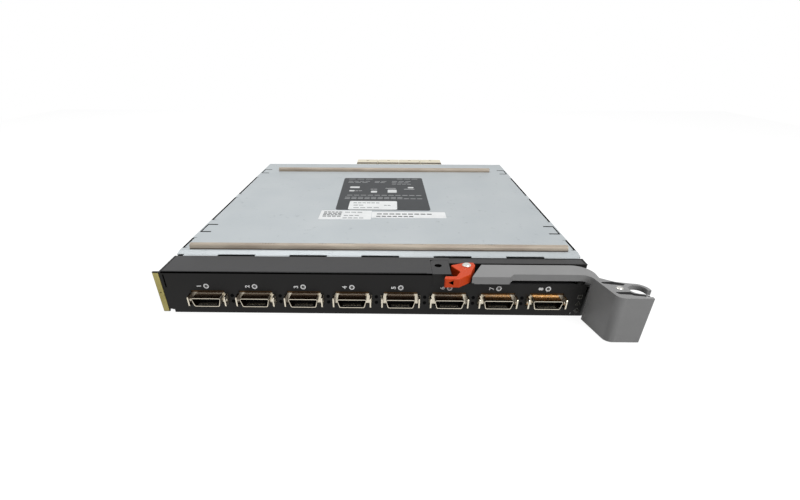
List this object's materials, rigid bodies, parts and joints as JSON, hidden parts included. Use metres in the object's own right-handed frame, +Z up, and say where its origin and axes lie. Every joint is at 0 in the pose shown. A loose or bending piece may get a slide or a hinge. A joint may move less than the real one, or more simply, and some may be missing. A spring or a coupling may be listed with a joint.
{
  "type": "infiniband switch",
  "caption": "Flat blade switch module with a row of cable ports on its black nose, a cast ejector lever with a red latch, and sockets at the rear.",
  "frame": {"origin": "centre of the chassis floor's underside, which the module rests on", "axes": "+X along the row of ports towards the lever, +Y towards the rear sockets, +Z up through the top cover"},
  "size_m": [0.295, 0.3366, 0.0334],
  "materials": {
    "galvanised_steel": "dull zinc plating, faint spangle",
    "black_paint": "fine matt black paint",
    "conductive_cloth": "tan conductive cloth over foam",
    "gold_cloth": "gold conductive cloth strip",
    "gilt_brass": "gold flash",
    "black_screw": "black oxide",
    "zinc_screw": "zinc plate",
    "clear_pipe": "clear moulding",
    "green_board": "solder mask on glass laminate",
    "brass_standoff": "turned",
    "insulator_film": "matt film",
    "chip_package": "moulded package",
    "pad_rubber": "soft pad",
    "sink_aluminium": "extruded",
    "module_plastic": "moulded case",
    "can_aluminium": "drawn can",
    "ferrite_ceramic": "pressed ferrite",
    "cast_zinc": "die cast",
    "grey_cast_lever": "satin grey paint on a casting",
    "pin_steel": "turned and plated",
    "orange_plastic": "satin moulding",
    "spring_steel": "spring wire",
    "nickel_shell": "nickel plate",
    "black_insert": "glass-filled moulding",
    "cream_plastic": "liquid-crystal polymer moulding"
  },
  "bodies": {
    "chassis": {"base_tray": "galvanised_steel", "top_cover": "galvanised_steel", "front_housing": "black_paint", "lever_bracket": "black_paint", "front_gasket": "conductive_cloth", "rear_gasket": "conductive_cloth", "end_gasket": "gold_cloth", "port_contacts": "gilt_brass", "port_screws": "black_screw", "cover_screws": "zinc_screw", "light_pipes": "clear_pipe", "status_light_guide": "clear_pipe", "status_board": "green_board", "main_board": "green_board", "board_standoffs": "brass_standoff", "board_screws": "zinc_screw", "insulator_sheet": "insulator_film", "switch_chip": "chip_package", "thermal_pad": "pad_rubber", "heat_sink": "sink_aluminium", "heat_sink_screws": "zinc_screw", "management_processor": "chip_package", "memory_chips": "chip_package", "power_modules": "module_plastic", "capacitors": "can_aluminium", "inductors": "ferrite_ceramic", "guide_socket_left": "cast_zinc", "guide_socket_right": "cast_zinc", "latch_rivet": "pin_steel", "latch_spring": "spring_steel", "port_shell_1": "nickel_shell", "port_insert_1": "black_insert", "port_shell_2": "nickel_shell", "port_insert_2": "black_insert", "port_shell_3": "nickel_shell", "port_insert_3": "black_insert", "port_shell_4": "nickel_shell", "port_insert_4": "black_insert", "port_shell_5": "nickel_shell", "port_insert_5": "black_insert", "port_shell_6": "nickel_shell", "port_insert_6": "black_insert", "port_shell_7": "nickel_shell", "port_insert_7": "black_insert", "port_shell_8": "nickel_shell", "port_insert_8": "black_insert", "rear_socket_1": "cream_plastic", "socket_neck_1": "black_insert", "rear_socket_2": "cream_plastic", "socket_neck_2": "black_insert", "rear_socket_3": "cream_plastic", "socket_neck_3": "black_insert", "rear_socket_4": "cream_plastic", "socket_neck_4": "black_insert"},
    "lever": {"ejector_lever": "grey_cast_lever", "pivot_pin": "pin_steel", "lever_screw": "pin_steel"},
    "latch": {"latch": "orange_plastic"}
  },
  "joints": [
    {"name": "lever_hinge", "type": "hinge", "parent": "chassis", "child": "lever", "pos_m": [0.1256, -0.1359, 0.025], "axis": [0, 0, 1], "range_deg": [0, 60]},
    {"name": "latch_hinge", "type": "hinge", "parent": "chassis", "child": "latch", "pos_m": [0.0566, -0.1301, 0.0264], "axis": [0, 0, 1], "range_deg": [-10, 0], "stiffness_Nm_per_rad": 0.02, "springref_deg": 2.86}
  ]
}
